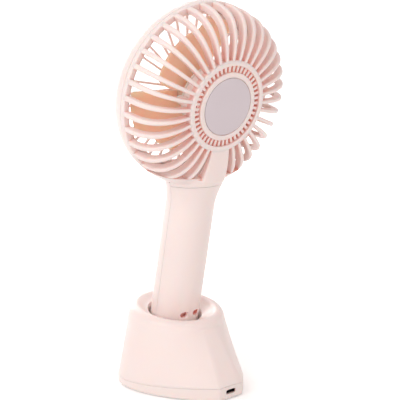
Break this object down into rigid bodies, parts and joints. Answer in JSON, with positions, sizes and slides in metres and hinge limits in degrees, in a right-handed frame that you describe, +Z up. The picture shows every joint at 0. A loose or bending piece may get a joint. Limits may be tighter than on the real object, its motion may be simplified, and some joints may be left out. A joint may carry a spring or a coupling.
{
  "type": "handheld electric fan",
  "caption": "Handheld electric fan with a ribbed round cage and a spoked front grille, leaning back in a tapered charging dock.",
  "frame": {"origin": "the point of the desk under the dock that the handle's leaning axis meets", "axes": "+Z up; the fan blows towards -Y, and its ribbed cage and the dock's cable inlet face +Y; +X is to the right for someone looking at the ribbed rear"},
  "size_m": [0.0944, 0.0743, 0.2032],
  "materials": {
    "blush_plastic": "pale pink moulded ABS, satin",
    "peach_plastic": "peach pink moulded plastic, slightly translucent",
    "lilac_label": "bare grey-lilac plate, matt",
    "white_plastic": "white moulded nylon",
    "milky_lens": "milky clear acrylic",
    "black_plastic": "black moulded plastic",
    "grey_rubber": "dark grey rubber",
    "white_foam": "white foam tape",
    "green_board": "green printed circuit laminate",
    "blue_cell_wrap": "blue heat-shrink wrap over a metal can",
    "steel": "plain steel",
    "gilt_brass": "gold-plated brass",
    "wire_cover": "red lead insulation"
  },
  "bodies": {
    "dock": {"dock_shell": "blush_plastic", "dock_base_tray": "blush_plastic", "dock_pad": "grey_rubber", "dock_board": "green_board", "usb_inlet": "steel", "contact_block": "black_plastic", "contact_barrel_left": "gilt_brass", "contact_barrel_right": "gilt_brass", "contact_lead_left": "wire_cover", "contact_lead_right": "wire_cover", "base_screw_left": "steel", "base_screw_right": "steel", "base_screw_rear": "steel"},
    "fan": {"front_housing": "blush_plastic", "rear_handle_cover": "blush_plastic", "rear_cage": "blush_plastic", "front_grille": "blush_plastic", "handle_end_cap": "blush_plastic", "charge_pad_left": "gilt_brass", "charge_pad_right": "gilt_brass", "battery_cell": "blue_cell_wrap", "battery_foam": "white_foam", "battery_tab_lower": "steel", "battery_tab_upper": "steel", "control_board": "green_board", "tact_switch": "black_plastic", "indicator_led": "milky_lens", "indicator_lens": "milky_lens", "label_disc": "lilac_label", "motor_can": "steel", "motor_end_cap": "white_plastic", "motor_bushing": "gilt_brass", "motor_sleeve": "grey_rubber", "motor_clamp_plate": "white_plastic", "motor_screw_left": "steel", "motor_screw_right": "steel", "motor_lead_left": "wire_cover", "motor_lead_right": "wire_cover"},
    "impeller": {"impeller": "peach_plastic", "motor_shaft": "steel"},
    "button": {"power_button": "blush_plastic"},
    "pin_left": {"contact_pin_left": "gilt_brass"},
    "pin_right": {"contact_pin_right": "gilt_brass"}
  },
  "joints": [
    {"name": "fan_lift", "type": "slide", "parent": "dock", "child": "fan", "axis": [0, 0.2062, 0.9785], "range_m": [0, 0.05]},
    {"name": "impeller_spin", "type": "hinge", "parent": "fan", "child": "impeller", "pos_m": [0, 0.03275, 0.15539], "axis": [0, 0.9785, -0.2062], "continuous": true},
    {"name": "power_button_press", "type": "slide", "parent": "fan", "child": "button", "axis": [0, 0.9785, -0.2062], "range_m": [0, 0.0005], "stiffness_N_per_m": 600},
    {"name": "contact_pin_left_press", "type": "slide", "parent": "dock", "child": "pin_left", "axis": [0, 0.2062, 0.9785], "range_m": [-0.0008, 0], "stiffness_N_per_m": 300},
    {"name": "contact_pin_right_press", "type": "slide", "parent": "dock", "child": "pin_right", "axis": [0, 0.2062, 0.9785], "range_m": [-0.0008, 0], "stiffness_N_per_m": 300}
  ]
}
